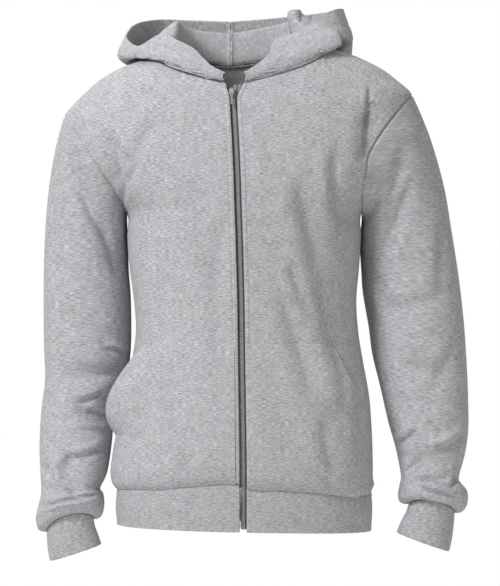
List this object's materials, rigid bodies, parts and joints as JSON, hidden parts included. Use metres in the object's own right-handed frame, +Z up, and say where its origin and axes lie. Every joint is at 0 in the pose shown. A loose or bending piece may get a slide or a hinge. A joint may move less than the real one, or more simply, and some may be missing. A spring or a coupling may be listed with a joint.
{
  "type": "zip-up hoodie",
  "caption": "Full-zip hooded sweatshirt in its worn shape, hollow, with the hood down, patch pockets, rib cuffs and hem band.",
  "frame": {"origin": "midway between the shoulders, at about the height of the neck side points, where the wearer's neck and shoulders hold the garment", "axes": "+Z up, the fronts face -Y, +X is the left-hand side of the garment as worn"},
  "size_m": [0.6064, 0.3116, 0.7716],
  "materials": {
    "fleece": "heather grey brushed-back jersey",
    "rib": "heather grey rib knit",
    "tape": "woven grey tape",
    "teeth": "dark moulded teeth",
    "metal": "bright nickel"
  },
  "bodies": {
    "garment": {"front_right": "fleece", "sleeve_right": "fleece", "cuff_right": "rib", "pocket_right": "fleece", "hood_right": "fleece", "zip_tape_right": "tape", "front_left": "fleece", "sleeve_left": "fleece", "cuff_left": "rib", "pocket_left": "fleece", "hood_left": "fleece", "zip_tape_left": "tape", "back": "fleece", "hem_band": "rib", "zip_chain": "teeth", "zip_slider": "metal"},
    "pull": {"zip_pull": "metal"}
  },
  "joints": [
    {"name": "pull_swing", "type": "hinge", "parent": "garment", "child": "pull", "pos_m": [-0.01388, -0.10628, -0.051], "axis": [-1, 0, 0], "range_deg": [0, 150]}
  ]
}
